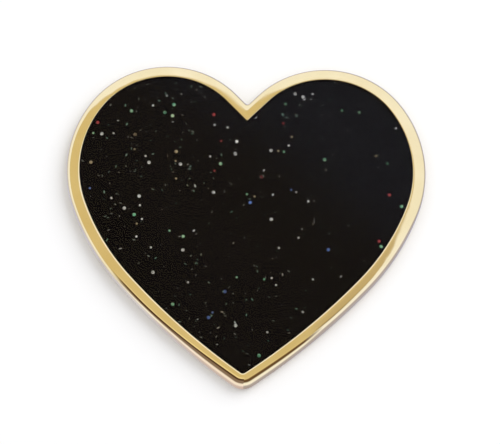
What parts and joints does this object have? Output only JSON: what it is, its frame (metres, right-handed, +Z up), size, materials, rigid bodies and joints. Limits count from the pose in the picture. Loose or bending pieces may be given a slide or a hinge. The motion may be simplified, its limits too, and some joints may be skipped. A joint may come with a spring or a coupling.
{
  "type": "enamel pin",
  "caption": "Heart-shaped hard enamel lapel pin with a polished gold rim, black glitter enamel under clear coat, soldered posts and butterfly clutches.",
  "frame": {"origin": "on the flat back of the plate, midway between the two posts and on their centre line, half-way up the enamel cell", "axes": "+Z up as the pin is worn, from the heart's tip to its cleft; -Y out of the enamelled face; +Y backward along the posts; +X to the viewer's right seen from the front"},
  "size_m": [0.032, 0.0099, 0.0307],
  "materials": {
    "gold_plate": "polished gold plating",
    "black_enamel": "gloss hard enamel",
    "clear_resin": "clear gloss coat",
    "silver_flake": "mirror glitter",
    "green_flake": "mirror glitter",
    "red_flake": "mirror glitter",
    "blue_flake": "mirror glitter",
    "gold_flake": "mirror glitter",
    "post_metal": "polished gold plating",
    "solder": "satin",
    "clutch_brass": "bright stamped brass",
    "spring_brass": "bright stamped brass"
  },
  "bodies": {
    "badge": {"base_plate": "gold_plate", "enamel_fill": "black_enamel", "clear_coat": "clear_resin", "silver_flakes": "silver_flake", "green_flakes": "green_flake", "red_flakes": "red_flake", "blue_flakes": "blue_flake", "gold_flakes": "gold_flake", "left_post": "post_metal", "left_solder": "solder", "right_post": "post_metal", "right_solder": "solder"},
    "left_cup": {"left_clutch_cup": "clutch_brass"},
    "left_clip": {"left_clutch_clip": "spring_brass"},
    "left_wing_a": {"left_clutch_wing_a": "spring_brass"},
    "left_wing_b": {"left_clutch_wing_b": "spring_brass"},
    "right_cup": {"right_clutch_cup": "clutch_brass"},
    "right_clip": {"right_clutch_clip": "spring_brass"},
    "right_wing_a": {"right_clutch_wing_a": "spring_brass"},
    "right_wing_b": {"right_clutch_wing_b": "spring_brass"}
  },
  "joints": [
    {"name": "left_clutch_slide", "type": "slide", "parent": "badge", "child": "left_cup", "axis": [0, 1, 0], "range_m": [-0.002, 0.012]},
    {"name": "left_clip_spin", "type": "hinge", "parent": "left_cup", "child": "left_clip", "pos_m": [-0.0075, 0.0027, 0], "axis": [0, 1, 0], "continuous": true},
    {"name": "left_wing_a_squeeze", "type": "hinge", "parent": "left_clip", "child": "left_wing_a", "pos_m": [-0.00595, 0.00535, 0], "axis": [0, 0, 1], "range_deg": [0, 10]},
    {"name": "left_wing_b_squeeze", "type": "hinge", "parent": "left_clip", "child": "left_wing_b", "pos_m": [-0.00905, 0.00535, 0], "axis": [0, 0, -1], "range_deg": [0, 10]},
    {"name": "right_clutch_slide", "type": "slide", "parent": "badge", "child": "right_cup", "axis": [0, 1, 0], "range_m": [-0.002, 0.012]},
    {"name": "right_clip_spin", "type": "hinge", "parent": "right_cup", "child": "right_clip", "pos_m": [0.0075, 0.0027, 0], "axis": [0, 1, 0], "continuous": true},
    {"name": "right_wing_a_squeeze", "type": "hinge", "parent": "right_clip", "child": "right_wing_a", "pos_m": [0.00905, 0.00535, 0], "axis": [0, 0, 1], "range_deg": [0, 10]},
    {"name": "right_wing_b_squeeze", "type": "hinge", "parent": "right_clip", "child": "right_wing_b", "pos_m": [0.00595, 0.00535, 0], "axis": [0, 0, -1], "range_deg": [0, 10]}
  ],
  "couplings": [
    {"joint": "left_wing_b_squeeze", "follows": "left_wing_a_squeeze", "ratio": 1},
    {"joint": "right_wing_b_squeeze", "follows": "right_wing_a_squeeze", "ratio": 1}
  ]
}
